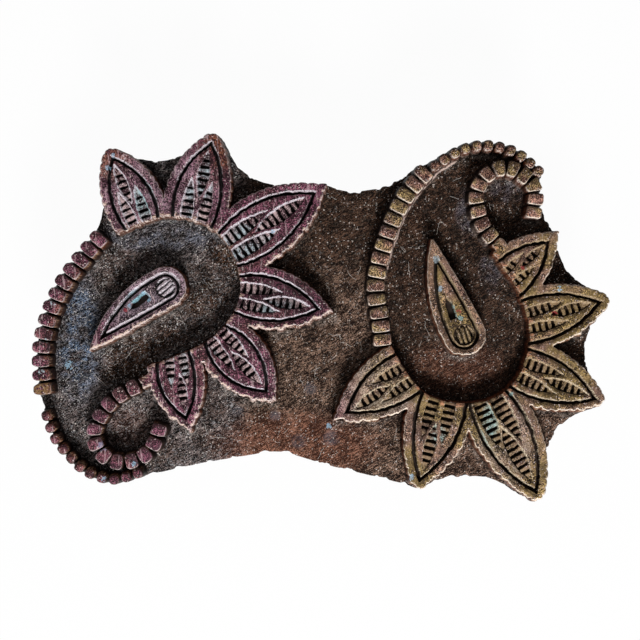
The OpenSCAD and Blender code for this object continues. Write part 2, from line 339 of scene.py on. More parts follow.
def closeBottom(mesh, recess=None):  # fills the open rim of a carved patch, round a recess if there is one
    bm = bmesh.new()
    bm.from_mesh(mesh)
    rims = [e for e in bm.edges if e.is_boundary]
    if recess is not None:
        ring = [bm.verts.new((x * milli, y * milli, backZ * milli)) for x, y in recess["loop"]]
        inner = [bm.edges.new((ring[i - 1], ring[i])) for i in range(len(ring))]
        bmesh.ops.triangle_fill(bm, edges=rims + inner, use_beauty=False, use_dissolve=False)
        lift = [bm.verts.new((x * milli, y * milli, recess["top"] * milli)) for x, y in recess["loop"]]
        for i in range(len(ring)):
            bm.faces.new((ring[i - 1], ring[i], lift[i], lift[i - 1]))
        rims = [bm.edges.get((lift[i - 1], lift[i])) for i in range(len(lift))]
    bmesh.ops.triangle_fill(bm, edges=rims, use_beauty=False, use_dissolve=False)
    bmesh.ops.recalc_face_normals(bm, faces=bm.faces)
    openEdges = sum(1 for e in bm.edges if not e.is_manifold)
    bm.to_mesh(mesh)
    bm.free()
    mesh.set_sharp_from_angle(angle=math.radians(38))
    print(mesh.name, len(mesh.polygons), "faces, open edges", openEdges)


def gridInside(outlines, pitch):  # grid points, their depth, the closest edge, and the cells inside
    every = np.concatenate(outlines)
    low, high = every.min(0) - 3 * pitch, every.max(0) + 3 * pitch
    xs, ys = np.arange(low[0], high[0], pitch), np.arange(low[1], high[1], pitch)
    plan = np.stack(np.meshgrid(xs, ys), 2)
    inside = insideOf(outlines, xs, ys)
    edgeTree = treeOf(np.concatenate([resampled(p, 0.06)[0] for p in outlines]))
    near = np.zeros_like(inside)
    for dy in range(-2, 3):
        for dx in range(-2, 3):
            near |= np.roll(np.roll(inside, dy, 0), dx, 1)
    gap, foot = nearest(edgeTree, plan[near])
    signed = np.full(inside.shape, -9.0)
    signed[near] = np.where(inside[near], gap, -gap)
    closest = plan.copy()
    closest[near] = foot
    cell = (signed[:-1, :-1] + signed[1:, :-1] + signed[:-1, 1:] + signed[1:, 1:]) > 0
    for _ in range(6):  # no two cells meet at a corner only
        a, b, c, d = cell[:-1, :-1], cell[:-1, 1:], cell[1:, :-1], cell[1:, 1:]
        lone = (a & d & ~b & ~c) | (b & c & ~a & ~d)
        if not lone.any():
            break
        cell[:-1, :-1] |= lone
        cell[:-1, 1:] |= lone
    return plan, signed, closest, cell


def wallRings(line, upper, rows, bottomZ, fray):  # a wall's rings below a rim, and how far down each is
    side = outward(line, 3)
    run = np.concatenate([[0], np.cumsum(np.linalg.norm(np.diff(line, axis=0), axis=1))])
    breaks = noise(run, run * 0 + 7, 2.6, 8) + 0.5 * noise(run, run * 0 + 9, 1.1, 9)
    lean = np.clip(-side[:, 1], 0, 1) * np.clip(0.45 + 0.8 * breaks, 0, 1.3)
    footZ = groundZ if bottomZ > backZ else backZ  # the relief stands on the ground
    for share, flare, spread in rows:
        rough = 0.5 * fray * noise(run, run * 0 + share * 9, 0.5, 5)
        rough += fray * noise(run, run * 0 + share * 3, 1.9, 6)
        place = line + side * (flare + spread * lean + rough * min(1.0, share * 6))[:, None]
        yield np.column_stack([place, upper + (footZ - upper) * share]), share
    yield np.column_stack([line, np.full(len(line), float(bottomZ))]), 1.0


def carve(outlines, pitch, top, rows, bottomZ, fray, snaps=None):
    # A patch inside the outlines: its upper face on a grid, and walls that follow rows of
    # [share down, flare, further flare on the side that faces -Y].
    pull = 0.92  # how far a point moves to the line that it snaps to
    plan, signed, closest, cell = gridInside(outlines, pitch)
    count = np.zeros(signed.shape, int)
    for dy in (0, 1):
        for dx in (0, 1):
            count[dy:dy + cell.shape[0], dx:dx + cell.shape[1]] += cell
    used = count > 0
    rim = used & (count < 4)
    plan[rim] += pull * (closest[rim] - plan[rim])
    signed[rim] = 0
    if snaps is not None:
        inner = used & ~rim & (signed > 0.8 * pitch)
        off, goal = nearest(treeOf(snaps), plan[inner])
        close = off < 0.5 * pitch
        moved = plan[inner]
        moved[close] += pull * (goal[close] - moved[close])
        plan[inner] = moved
    flat = plan[used]
    z, values = top(flat, np.maximum(signed[used], 0))
    rise = np.gradient(np.clip(signed, -1, 9), axis=0)[used] / pitch
    # south: 1 near an edge that faces -Y, toward the light; the materials paint highlights there
    values["south"] = np.clip(rise, 0, 1)
    values["wall"] = np.zeros(len(flat))
    number = np.full(signed.shape, -1)
    number[used] = np.arange(len(flat))
    r, c = np.argwhere(cell).T
    quads = np.stack([number[r, c], number[r, c + 1], number[r + 1, c + 1], number[r + 1, c]], 1)
    edges = np.concatenate([quads[:, [k, (k + 1) % 4]] for k in range(4)]).tolist()
    seen = set(map(tuple, edges))
    follow = {}
    for a, b in edges:
        if (b, a) not in seen:
            follow.setdefault(a, []).append(b)
    verts, faces = [np.column_stack([flat, z])], quads.tolist()
    marks = {key: [value] for key, value in values.items()}
    total = len(flat)
    for path in walked(follow):
        ring = before = np.array(path)
        facing = np.clip(-outward(flat[ring], 3)[:, 1], 0, 1)
        for points, share in wallRings(flat[ring], z[ring], rows, bottomZ, fray):
            verts.append(points)
            known = {"wall": 1.0, "drop": share, "south": facing}
            for key in marks:
                marks[key].append(np.zeros(len(ring)) + known.get(key, 0.0))
            after = total + np.arange(len(ring))
            total += len(ring)
            faces += np.stack([before, after, np.roll(after, -1), np.roll(before, -1)], 1).tolist()
            before = after
    return np.concatenate(verts), faces, {key: np.concatenate(parts) for key, parts in marks.items()}


# Materials
def millimetres(g):  # object coordinates
    return g.node("ShaderNodeTexCoord", {}, {}, "Object") * (1000.0, 1000.0, 1000.0)


class Wood(Graph):  # a graph with the places, noises and coats of colour of carved wood
    def __init__(self, tree, fine, patch, cloud):  # sizes of the noises
        super().__init__(tree)
        self.place = millimetres(self)
        self.x, self.y, self.z = self.split(self.place)
        self.fine = self.noise(self.place, fine, 2, 0.65)
        self.crumb = self.noise(self.place, 0.9, 1, 0.5)
        self.patch = self.noise(self.place, patch, 3, 0.6)
        self.cloud = self.noise(self.place, cloud, 2, 0.5)

    def coat(self, share, paint):  # over the colour so far
        self.colour = self.mix(share, self.colour, paint)

    def spot(self, middle, radii):  # 1 in the middle of an oval, falling to 0 at its edge
        u, v = (self.x - middle[0]) / radii[0], (self.y - middle[1]) / radii[1]
        return self.step(u * u + v * v, 1.0, 0.15)

    def stain(self, ovals):  # several ovals together, as [middle, radii, strength]
        return sum(self.spot(middle, radii) * strength for middle, radii, strength in ovals)

    def tonesOf(self, grit, pairs):  # each dye, from its dark grain to its pale grain
        return {name: self.mix(grit, dark, pale) for name, (dark, pale) in pairs.items()}


def specks(g, place, pitch, least, most):  # scattered dots with radii between these
    keys = {"Vector": place, "Scale": 1 / pitch}
    grid = g.node("ShaderNodeTexVoronoi", {"voronoi_dimensions": "2D"}, keys)
    pick = g.node("ShaderNodeSeparateColor", {}, {0: g.also(grid, "Color")})
    return g.calc("LESS_THAN", grid, (least + pick * (most - least)) / pitch)


def dashes(g, place, pitch, least, most):  # specks drawn out along x and along y
    long, tall = place * (0.4, 1.0, 1.0), place * (1.0, 0.4, 1.0) + (7.0, 3.0, 0.0)
    return specks(g, long, pitch, least, most) + specks(g, tall, pitch, least, most)


def hairs(g, place, size, width):  # short bent lines, pieces of the contours of a noise
    field = g.calc("ABSOLUTE", g.noise(place, size, 1, 0.5) - 0.5)
    return g.step(field, width, width * 0.3) * g.step(g.noise(place, size * 0.7, 0), 0.5, 0.58)


def flecked(g, flecks):  # small smears of dye, as [middle, radius, colour]
    for middle, radius, paint in flecks:
        inside = g.spot(middle, (radius, radius))
        smear = g.step(inside + (g.crumb - 0.5) * 4.5, 0.45, 0.8) * g.step(inside, 0.0, 0.3)
        g.coat(smear * g.step(g.fine, 0.4, 0.56, 0.25, 0.8), paint)


# Relief: dyed wood on the printing face, bare wood down its walls
reliefTones = {
    "mauve": [(38, 13, 21), (176, 108, 132)],
    "ruddy": [(40, 18, 14), (172, 110, 96)],
    "gold": [(50, 35, 16), (226, 190, 124)],
    "plum": [(42, 24, 20), (232, 182, 160)],
    "rose": [(52, 21, 17), (246, 184, 164)],
    "straw": [(54, 35, 17), (252, 216, 150)],
    "rubbed": [(62, 27, 16), (172, 108, 76)],
    "slate": [(16, 13, 17), (120, 108, 120)],
}
reliefStains = {
    "worn": [[(-70.0, 53.0), (9.0, 9.0), 1.0], [(-33.0, 57.0), (9.0, 8.0), 1.0],
             [(-82.0, -48.0), (24.0, 12.0), 0.2]],
    "chalky": [[(-54.0, 42.0), (26.0, 20.0), 0.5], [(-57.0, 8.0), (24.0, 17.0), 1.0],
               [(19.0, -24.0), (18.0, 15.0), 0.6], [(62.0, -42.0), (12.0, 16.0), 0.5]],
    "slate": [[(-60.0, 5.5), (18.0, 14.0), 1.0]],
    "teal": [[(-58.5, 40.0), (4.5, 8.0), 1.0], [(56.5, -35.0), (3.5, 9.0), 1.0],
             [(39.5, -38.5), (3.0, 5.0), 1.0], [(44.5, 2.0), (3.0, 5.0), 1.0]],
    "dusk": [[(-12.0, 8.0), (15.0, 9.0), 0.5]],
    "slot": [[(-60.6, 6.8), (5.2, 4.2), 1.0]],
}
skyDye, redDye, ochre, pinkDye = (168, 202, 226), (170, 48, 60), (158, 122, 78), (236, 210, 212)
tealDye, lilacDye, paleDye = (150, 188, 186), (156, 150, 176), (204, 218, 226)
reliefFlecks = [
    [(80.0, 10.6), 1.3, skyDye], [(63.3, -56.4), 1.5, skyDye], [(30.3, -52.6), 1.6, skyDye],
    [(40.2, 10.4), 1.2, skyDye], [(-57.1, 6.7), 0.9, skyDye], [(-63.6, 4.8), 0.9, skyDye],
    [(-59.0, 9.0), 0.8, skyDye], [(-64.8, 3.3), 0.9, redDye], [(-68.9, 54.7), 1.1, skyDye],
    [(-70.8, 50.8), 1.0, skyDye], [(-65.3, 54.4), 1.3, pinkDye], [(64.0, -24.7), 1.0, tealDye],
    [(38.8, 20.3), 1.5, paleDye], [(46.7, 0.7), 1.2, tealDye], [(-15.7, 29.5), 1.0, skyDye],
    [(-72.7, -42.0), 2.2, lilacDye], [(-62.0, -48.0), 1.2, skyDye], [(-72.0, -53.3), 1.4, skyDye],
    [(-91.9, -7.2), 1.3, paleDye], [(-93.0, -16.9), 1.4, paleDye], [(-88.9, 5.7), 1.2, paleDye],
    [(23.3, -4.0), 1.2, skyDye], [(67.7, 17.6), 1.0, redDye], [(78.3, 2.2), 1.2, redDye],
    [(46.2, 2.8), 1.0, redDye], [(-92.3, -23.0), 4.2, ochre]]


def dyedWood(g):  # mauve on the left, gold and plum on the right
    gilt = g.step(g.x, 10.0, 24.0) * g.step(g.cloud, 0.62, 0.44)
    golden = g.mix(gilt * 0.9 + 0.1, g.tones["plum"], g.tones["gold"])
    golden = g.mix(g.band * 0.75, golden, g.tones["plum"])
    hue = g.step(g.noise(g.place, 6.0, 1), 0.42, 0.58)
    golden = g.mix(g.rightTooth * 0.85, golden, g.mix(hue, g.tones["rose"], g.tones["straw"]))
    reddened = g.mix(g.step(g.cloud, 0.46, 0.62) * 0.4, g.tones["mauve"], g.tones["ruddy"])
    g.colour = g.mix(g.right, reddened, golden)


def mottledAndShaded(g):  # dark and pale patches; painted shade on the far half of each tooth and beside grooves on the side away from the light
    mottle = g.noise(g.place, 1.5, 2)
    g.coat(g.step(mottle, 0.5, 0.68) * g.right * 0.36, (46, 25, 18))
    g.coat(g.step(mottle, 0.44, 0.28) * g.right * 0.3, (206, 166, 132))
    g.coat(g.step(g.noise(g.place, 7.0, 2), 0.5, 0.66) * 0.45, (24, 11, 12))
    # painted shade: the north half of each tooth, and the face along a groove's edge that turns away from
    # the light
    g.coat(g.attribute("north") * 0.62, (30, 14, 9))
    g.coat(g.attribute("dim") * (0.2 + g.right * 0.5), (30, 18, 12))


def wornAndChalky(g):
    worn = g.stain(reliefStains["worn"]) + g.end * g.step(g.x, -74.0, -84.0) * 0.7
    g.coat(worn * g.step(g.patch, 0.35, 0.55) * 0.8, g.tones["rubbed"])
    chalky = g.stain(reliefStains["chalky"]) * g.step(g.fine + (g.patch - 0.5) * 0.6, 0.46, 0.62)
    g.coat(chalky * 0.64, g.mix(g.right, (212, 192, 204), (232, 214, 194)))
    slate = g.stain(reliefStains["slate"]) * (1.0 - g.band) * (1.0 - g.tooth)
    g.coat(slate * 0.62, g.tones["slate"])
    stripes = g.step(g.spot(dots[0], (3.5, 3.5)), 0.0, 0.15) * g.step(g.fine, 0.36, 0.52)
    g.coat(stripes * 0.75, (226, 208, 216))
    g.coat(dashes(g, g.place, 0.55, -0.5, 0.13) * 0.85, (236, 216, 212))


def cracked(g):  # pale cracks on the left
    shift = g.x / 3.7 + g.noise(g.place * (1.0, 0.3, 1.0), 4.0, 2, 0.5) * 1.3
    crack = g.step(g.calc("ABSOLUTE", g.calc("FRACT", shift) - 0.5), 0.06, 0.02)
    crack = crack * g.step(g.patch, 0.42, 0.52) * g.step(g.x, 4.0, -6.0)
    g.coat(crack * 0.55, (206, 176, 180))


def tornAndLitEdges(g):  # rims pale from wear, with a painted highlight where they face the light; splinters at the inner ends; torn fibres at the outer ends, painted pale only where they face the light
    edge = g.step(g.attribute("rim") + (g.fine - 0.5) * 1.6 + (g.patch - 0.5) * 1.2, 0.45, 0.85)
    # painted highlight: a little on every rim, most on rims that face -Y
    lit = 0.22 - g.tooth * 0.16 + g.south * (0.78 - g.leftTooth * 0.25)
    g.coat(edge * lit, g.mix(g.right, (246, 230, 226), (255, 238, 220)))
    fray = g.attribute("fray")
    strand = g.noise(g.place * (0.25, 1.0, 1.0), 0.5, 2, 0.6)
    splinter = g.step(fray + (strand - 0.5) * 3.0, 0.5, 0.9) * g.step(g.inner, 0.2, 0.7)
    dull = g.mix(g.right, (112, 72, 60), (104, 56, 36))
    fresh = g.mix(g.right, (240, 208, 188), (226, 160, 122))
    g.coat(splinter * 0.75, g.mix(g.step(strand, 0.5, 0.62), dull, fresh))
    # torn fibres on edges that face -Y: pale as a painted highlight
    litTatter = g.step(fray + (g.crumb - 0.5) * 2.2 + (g.patch - 0.5) * 1.6, 0.78, 1.0)
    litTatter = litTatter * g.south * (1.0 - g.inner) * (1.0 - g.right)
    g.coat(litTatter * g.step(g.fine, 0.36, 0.54, 0.35, 0.9), (232, 204, 186))


def cutLines(g):  # ladders; grooves painted dark as shade, and a painted highlight on their lips, mostly where they face the light
    teal, slot = g.stain(reliefStains["teal"]), g.stain(reliefStains["slot"])
    silver = g.mix(g.step(g.cloud, 0.46, 0.6), (212, 186, 184), (190, 208, 214))
    rungs = g.mix(g.right, silver, (160, 134, 102))
    rungs = g.mix(teal * 0.8, rungs, (168, 212, 212))
    leaf = g.attribute("leaf") * g.step(g.fine + (g.patch - 0.5) * 0.9, 0.42, 0.62)
    g.coat(leaf * 0.85, rungs)
    g.coat(g.stain(reliefStains["dusk"]), (24, 11, 14))
    # painted shade: grooves, the line under each ladder and the ring round each dot are coloured dark
    grooveShade = g.mix(slot, g.mix(g.right, (9, 5, 5), (32, 19, 11)), (66, 44, 38))
    sunk = g.step(g.attribute("sunk"), 0.1 - g.right * 0.08, 0.6 - g.right * 0.3)
    g.coat(sunk * 0.98, grooveShade)
    glint, low = g.step(g.fine, 0.38, 0.6), g.step(g.y, -14.0, -26.0)
    bright = g.mix(glint, (158, 138, 148), (244, 238, 244))
    gleam = g.mix(glint, (124, 98, 70), g.mix(low, (204, 180, 146), (236, 220, 192)))
    cyan = g.mix(g.step(g.fine, 0.4, 0.58), (74, 92, 98), (168, 222, 236))
    bright = g.mix(slot, g.mix(g.right, bright, gleam), cyan)
    bright = g.mix(teal * 0.6, bright, (150, 200, 204))
    # painted highlight: the pale lips along the cuts, mostly on the walls that face the light
    lip = g.step(g.attribute("lip") + (g.fine - 0.5) * 0.5 + (g.patch - 0.5) * 0.8, 0.16, 0.42)
    g.coat(lip * 0.97, bright)


def bareWalls(g):  # bare wood, with chips; painted highlight where the upper walls face the light, painted shade between the teeth and at the foot of walls that face away
    drop = g.attribute("drop")
    flank = g.tooth * (1.0 - g.end)
    fibre = g.noise(g.place * (1.0, 1.0, 0.25), 0.5, 2, 0.6)
    streak = g.noise(g.place * (1.0, 1.0, 0.06), 0.42, 2, 0.65)
    bare = g.mix(g.step(fibre, 0.35, 0.65), (44, 17, 9), (132, 72, 44))
    # painted shade on the flanks between the teeth and on the inner ends of the left teeth
    bare = g.mix(flank * 0.9 + g.leftTooth * g.end * 0.6, bare, (20, 10, 6))
    cream = g.mix(g.right * (1.0 - g.tooth), (255, 240, 230), (196, 166, 136))
    cream = g.mix(g.leftTooth, cream, (206, 164, 132))
    pale = g.step(streak * 0.7 + g.patch * 0.3, 0.45 + g.leftTooth * 0.05, 0.57)
    kept = g.step(g.noise(g.place, 4.5, 1), 0.4, 0.54, 0.3, 1.0)
    # pale bare wood shown only on the upper walls that face the light: a painted highlight
    shown = (1.0 - g.leftTooth * flank * 0.75) * (1.0 + (g.right - g.rightTooth) * (kept - 1.0))
    shown = g.south * shown * g.step(drop + (g.patch - 0.5) * 1.4, 0.5, 0.2)
    bare = g.mix(shown, bare, g.mix(pale, (104, 58, 36), cream))
    foot = g.mix(g.step(streak, 0.42, 0.6), (56, 43, 37), (146, 128, 118))
    # painted shade at the foot of walls that face away from the light
    foot = g.mix(g.south * (1.0 - g.leftTooth * 0.8), (14, 8, 6), foot)
    bare = g.mix(g.step(drop, 0.3, 0.95) * 0.85, bare, foot)
    chips = g.step(streak + (g.patch - 0.5) * 0.5, 0.52, 0.6) * g.step(drop, 0.7, 0.15)
    return g.mix(chips * (0.12 + g.leftTooth * g.end * 0.7 - flank * 0.1), bare, (208, 170, 138))


def faceMaterial():
    made, g = material("stained_relief", Wood, 0.34, 3.5, 13.0)
    g.right = g.step(g.x, 0.0, 16.0)
    g.tooth, g.end = g.attribute("tooth"), g.attribute("bare")
    g.leftTooth, g.rightTooth = g.tooth * (1.0 - g.right), g.tooth * g.right
    g.south, g.inner, g.band = g.attribute("south"), g.attribute("inner"), g.attribute("band")
    grit = g.step(g.fine + (g.patch - 0.5) * 0.4, 0.5, 0.61)
    calm = g.step(g.noise(g.place, 5.0, 2), 0.42, 0.6) * (g.right - g.rightTooth) * 0.6
    g.tones = g.tonesOf(grit + (0.36 - grit) * calm, reliefTones)
    for stage in (dyedWood, mottledAndShaded, wornAndChalky, cracked, tornAndLitEdges, cutLines):
        stage(g)
    flecked(g, reliefFlecks)
    g.coat(g.attribute("wall"), bareWalls(g))
    surface(g, g.colour, 0.6, g.fine, 0.12, sheen=0.25)
    return made


# Ground: stained, dusty and specked, with painted light and painted shadow beside the relief, and sawn sides
groundTones = {
    "plain": [(27, 15, 10), (168, 136, 116)],
    "dark": [(15, 9, 6), (102, 74, 58)],
    "grey": [(13, 11, 11), (148, 136, 135)],
    "blue": [(14, 17, 24), (128, 146, 172)],
    "red": [(60, 32, 22), (164, 112, 90)],
    "litPowder": [(40, 36, 34), (150, 144, 138)],
}
groundStains = {
    "dark": [[(-42.0, 0.0), (18.0, 16.0), 1.0], [(-66.0, -15.0), (15.0, 9.0), 1.0],
             [(-7.0, 29.0), (12.0, 11.0), 1.0], [(-33.0, 17.0), (9.0, 15.0), 1.0],
             [(-57.0, -6.0), (13.0, 6.0), 0.8]],
    "red": [[(-8.0, -43.0), (34.0, 15.0), 1.0], [(46.0, -17.0), (22.0, 12.0), 0.5],
            [(-64.5, -36.5), (9.0, 9.0), 0.35]],
    "blue": [[(-82.0, -6.0), (10.0, 26.0), 1.0], [(-54.0, 29.0), (26.0, 7.0), 0.5],
             [(50.0, 36.0), (5.0, 11.0), 0.3], [(64.0, 44.0), (8.0, 5.0), 0.3],
             [(58.0, 19.0), (5.0, 12.0), 0.3]],
    "smudge": [[(-15.3, -32.7), (2.4, 2.4), 1.0], [(-3.3, -23.3), (2.6, 2.6), 1.0],
               [(3.8, -40.0), (3.4, 3.4), 1.0], [(-7.3, -41.3), (3.0, 3.0), 1.0],
               [(-28.0, -31.0), (2.2, 2.2), 1.0]],
}
groundFlecks = [[(3.0, -36.0), 1.2, skyDye], [(-85.2, -15.4), 1.9, skyDye]]


def stainedLitAndShadedGround(g):
    shady = g.step(g.x, 19.0, 26.0) * g.step(g.y, -33.0, -27.0) + g.step(g.y, 6.0, 26.0)
    g.colour = g.mix(shady * 0.95, g.tones["plain"], g.tones["dark"])
    g.coat(g.left * 0.85, g.tones["grey"])
    dark = g.step(g.cloud, 0.5, 0.64) + g.stain(groundStains["dark"])
    g.coat(dark * 0.55, g.tones["dark"])
    g.coat(g.stain(groundStains["red"]) * 0.85, g.tones["red"])
    blue = g.stain(groundStains["blue"]) * g.step(g.patch, 0.35, 0.6)
    g.coat(blue, g.tones["blue"])
    # beside walls that face the light the ground is painted paler in a dust colour: part dust, part painted
    # light
    dust = g.step(g.attribute("dust") + (g.patch - 0.5) * 1.4, 0.3, 0.8)
    g.coat(dust * 0.6, g.tones["litPowder"])
    smudge = g.stain(groundStains["smudge"]) * g.step(g.patch, 0.3, 0.6)
    g.coat(smudge * 0.45, (84, 88, 100))
    # painted shadow beside walls that face away from the light
    g.coat(g.attribute("soot") * 0.85, (8, 5, 4))


def strewn(g):  # the scraped ledge, and fluff and crumbs that lie on the ground
    ledge = g.step(g.attribute("ledge") + (g.fine - 0.5) * 0.8 + (g.patch - 0.5) * 1.2, 0.5, 0.9)
    g.coat(ledge * 0.8, (232, 204, 192))
    felt = hairs(g, g.place, 1.7, 0.02) + hairs(g, g.place + (30.0, 50.0, 0.0), 1.1, 0.02)
    fluff = g.mix(g.left, (196, 176, 158), (204, 204, 208))
    g.coat(felt * (0.14 + g.left * 0.26), fluff)
    loose = dashes(g, g.place, 0.55, -0.7, 0.13) + specks(g, g.place, 2.6, -0.9, 0.25)
    g.coat(loose * g.step(g.patch, 0.38, 0.52) * 0.9, (226, 216, 208))
    crumbs = dashes(g, g.place + (11.0, 5.0, 0.0), 0.5, -0.8, 0.13)
    crumbs = crumbs * g.step(g.noise(g.place, 6.0, 2), 0.46, 0.6)
    g.coat(crumbs * (0.3 + g.left * 0.6), (238, 234, 232))


def sawnSides(g):
    grain = g.noise(g.place * (0.06, 0.06, 1.0), 1.1, 3, 0.6)
    sawn = g.mix(g.step(grain, 0.3, 0.7), (44, 28, 19), (88, 60, 42))
    marks = g.noise(g.place * (1.0, 1.0, 0.05), 0.8, 2, 0.6)
    sawn = g.mix(g.step(marks, 0.5, 0.75) * 0.4, sawn, (30, 19, 14))
    grimy = g.step(g.z + (g.patch - 0.5) * 14.0, groundZ - 8, groundZ)
    return g.mix(grimy * 0.7, sawn, (28, 16, 12))


def groundMaterial():
    made, g = material("dyed_ground", Wood, 0.3, 4.0, 14.0)
    g.left = g.step(g.x, -21.0, -30.0)
    along, across = g.x * 0.86 + g.y * 0.5, g.y * 0.86 - g.x * 0.5
    lines = g.node("ShaderNodeCombineXYZ", {}, {0: along * 0.22, 1: across, 2: g.z})
    fibre = g.noise(lines, 0.42, 2, 0.6)
    grit = g.step(g.fine * 0.6 + fibre * 0.4 + (g.patch - 0.5) * 0.22, 0.49, 0.595)
    g.tones = g.tonesOf(grit, groundTones)
    stainedLitAndShadedGround(g)
    strewn(g)
    flecked(g, groundFlecks)
    g.coat(g.attribute("wall"), sawnSides(g))
    surface(g, g.colour, 0.75, g.fine + fibre, 0.2, sheen=0.1)
    return made


reliefMaterial = faceMaterial()
boardMaterial = groundMaterial()


# Petal fans and teardrops
fanSpec = {
    "pitch": 0.22,  # of the grid that the face is built on
    "scallop": 3.1,  # from one dent of the edge to the next
    "dent": 0.42,
    "fray": 0.14,
    "round": 0.32,
    "ragged": 1.25,  # how far the edge that faces the light is broken back
    "band": -1,  # width of a plum band along the edge
    "lean": 1.0,  # spread of the walls toward the light
    "lip": 0.2,  # width of the painted highlight along a cut
    "drift": 0.2,  # how far the carver's hand wanders
}
dropSpec = {
    **fanSpec, "pitch": 0.2, "scallop": 5.0, "dent": 0.12, "fray": 0.2, "round": 0.28, "ragged": 0.8,
    "band": 2.6, "lean": 0.45, "drift": 0.14}
cutSpec = {"lip": 0.12, "fall": 0.2, "ladder": 0.4, "ring": 0.7}  # depths that the knife adds
wallRows = [
    [0.03, 0.07, 0.14], [0.1, 0.14, 0.32], [0.3, 0.24, 0.55],
    [0.6, 0.34, 0.6], [0.86, 0.42, 0.6], [1.0, 0.6, 0.6]]
leafTree = treeOf(np.concatenate([resampled(p, 0.1)[0] for p in block[leafZ]]))


def scalloped(loop, spec, seed):
    points, at = resampled(loop, 0.08)

    def wave(row, size, k):
        return noise(at, at * 0 + row, size, seed + k)

    phase = at / at[-1] * round(at[-1] / spec["scallop"]) + 0.2 * wave(0, 7.0, 0)
    dent = spec["dent"] * (1 - np.abs(np.sin(math.pi * phase))) ** 2 + 0.5 * spec["fray"] * wave(3, 0.7, 1)
    side = outward(points, 5)
    toward = bodyOf(loop) - points
    facing = (side * toward).sum(1) / np.linalg.norm(toward, axis=1)
    outer = 1 - smooth(facing * 2.5 - 0.5)
    dent = dent * outer + 0.3 * (1 - outer) * np.abs(wave(8, 0.8, 4))
    broken = 0.45 + 0.4 * wave(5, 2.4, 2) + 0.25 * wave(6, 0.9, 3)
    dent += spec["ragged"] * (0.25 + 0.75 * outer) * np.clip(-side[:, 1], 0, 1) * broken
    return points - side * dent[:, None]


def reliefTop(outline, spec, seed):  # height and colour guides of the printing face inside one island
    low, high = outline.min(0) - 2, outline.max(0) + 2
    edge = treeOf(resampled(outline, 0.1)[0])

    def within(loops):
        return [p for p in loops if np.all(p.min(0) > low) and np.all(p.max(0) < high)]

    def cutsOf(loops):  # points along outlines, but for those on the island's own edge
        points = np.concatenate([resampled(p, 0.06)[0] for p in loops])
        return points[nearest(edge, points)[0] > 0.3]

    faceLoops, deepLoops = within(block[faceZ]), within(block[grooveZ])
    lips, deep = cutsOf(faceLoops), cutsOf(deepLoops)
    lipTree, deepTree = treeOf(lips), treeOf(deep)
    path = resampled(outline, 0.3)[0]
    pathTree, away = treeOf(path), outward(path, 4)

    def inward(flat):  # 1 where the closest edge of a fan faces the middle of its paisley
        mine = np.array([pathTree.find((x, y, 0.0))[1] for x, y in flat])
        toward = bodyOf(outline) - flat
        facing = (away[mine] * toward).sum(1) / (np.linalg.norm(toward, axis=1) + 1e-9)
        return np.clip(facing, 0, 1) * (signedArea(outline) > fanArea)

    def top(flat, depth):
        x, y = flat[:, 0], flat[:, 1]
        drift = np.stack([noise(x, y, 1.3, seed + k) for k in (6, 7)], 1)
        cut = flat + spec["drift"] * drift * smooth(depth - 0.3)[:, None]
        lipGap, lipSpot = nearest(lipTree, cut)
        deepGap, leafGap = nearest(deepTree, cut)[0], nearest(leafTree, cut)[0]
        sunk = pointsInside([outline], flat) & ~pointsInside(faceLoops, cut)
        lean = ((lipSpot - cut) @ lightward) / (lipGap + 0.05)  # a groove's far wall faces the light
        lean = np.where(sunk, lean, -lean)
        shallow = np.where(sunk, smooth(lipGap / 0.3), 0)
        hollow = smooth(deepGap / (0.34 + 0.4 * np.clip(lean, 0, 1)))
        hollow = np.where(pointsInside(deepLoops, cut), hollow, 0)
        upper = smooth((y - 26) / 6) * smooth((-38 - x) / 5)  # ladders with dye on both sides
        ladder = bell(lipGap, 0.3) * bell(leafGap, 0.5)
        # the line under a ladder on its side away from the light is cut deeper and, through sunk, painted
        # dark as shade
        line = np.where(sunk, ladder * smooth(-lean * 1.4) * (1 - 0.8 * upper), 0)
        ring = np.min([np.abs(np.linalg.norm(flat - dot, axis=1) - dotRadius) for dot in dots], 0)
        ring = bell(ring, 0.34)
        # dim: the face beside a cut on its side away from the light falls a little and is painted darker, a
        # painted shade
        dim = np.where(sunk, 0, bell(lipGap, 0.75) * smooth(-lean * 1.4))
        z = faceZ + 0.10 * noise(x, y, 4.0, seed) + 0.05 * noise(x, y, 0.8, seed + 1)
        z -= spec["round"] * bell(depth, 0.3)
        z -= np.where(sunk, 0, cutSpec["lip"] * bell(lipGap, 0.25))
        z -= (faceZ - leafZ) * shallow + (leafZ - grooveZ) * hollow
        z -= cutSpec["ladder"] * line + cutSpec["ring"] * ring + cutSpec["fall"] * dim
        width = spec["lip"] * np.where(sunk, 1, 0.8) + 0.1 * bell(leafGap, 0.5)
        # lit and caught: painted highlights on the groove walls and leaf edges that face the light
        lit = bell(lipGap, width) * smooth(lean * 1.6) * (1 - 0.15 * bell(leafGap, 0.5))
        caught = 0.36 * bell(lipGap, 0.26) * bell(leafGap, 0.4) * smooth(0.6 + lean)
        return z, {
            "rim": np.where(sunk, 0, bell(depth, 0.4)),
            "fray": np.where(sunk, 0, bell(depth, 1.3)),
            "lip": np.max([lit, caught, 0.7 * upper * ladder], 0),
            "sunk": np.maximum(hollow, 0.8 * np.maximum(line, ring)),
            "leaf": shallow * (1 - hollow),
            "dim": dim,
            "drop": np.zeros(len(flat)),
            "band": smooth((spec["band"] - depth) * 2),
            "inner": inward(flat),
        }

    return top, np.concatenate([lips, deep])


